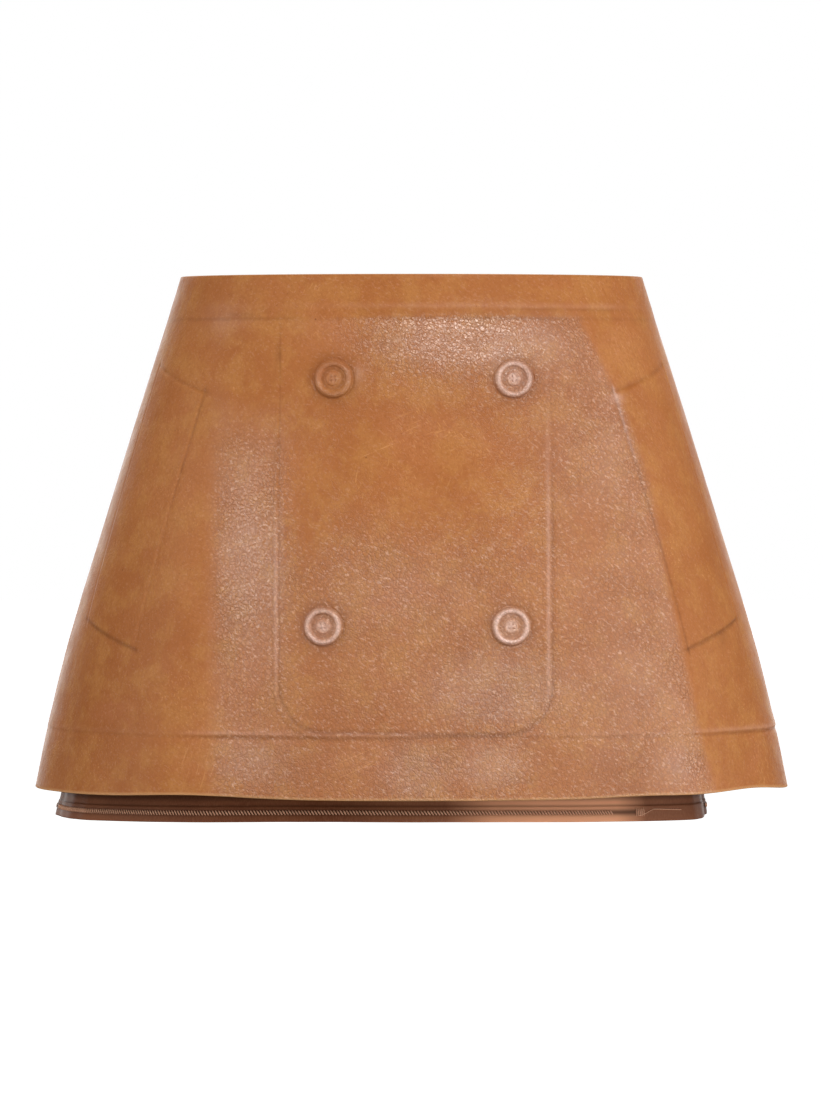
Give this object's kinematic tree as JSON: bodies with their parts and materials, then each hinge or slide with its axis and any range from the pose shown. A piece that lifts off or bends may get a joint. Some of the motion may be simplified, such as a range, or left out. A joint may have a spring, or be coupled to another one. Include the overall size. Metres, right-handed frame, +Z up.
{
  "type": "leather mini skirt",
  "caption": "Flared leather mini skirt in its worn hollow form, with a moulded double-breasted front, slanting pocket flaps, a satin lining and a centre back zip.",
  "frame": {"origin": "middle of the waist opening, level with the top edge", "axes": "+X towards the wearer's left, +Y towards the back, +Z up"},
  "size_m": [0.4588, 0.338, 0.328],
  "materials": {
    "hide": "glossy waxed tan leather with a fine grain",
    "lining": "brown satin",
    "zip_tape": "matte woven tape",
    "zip_metal": "brushed, slightly aged"
  },
  "bodies": {
    "skirt": {"front": "hide", "back_left": "hide", "back_right": "hide", "lining_front": "lining", "lining_back": "lining", "zip_tape": "zip_tape", "zip_slider": "zip_metal"},
    "pull": {"zip_pull": "zip_metal"}
  },
  "joints": [
    {"name": "zip_pull_swing", "type": "hinge", "parent": "skirt", "child": "pull", "pos_m": [0, 0.11077, -0.01328], "axis": [1, 0, 0], "range_deg": [0, 155]}
  ]
}
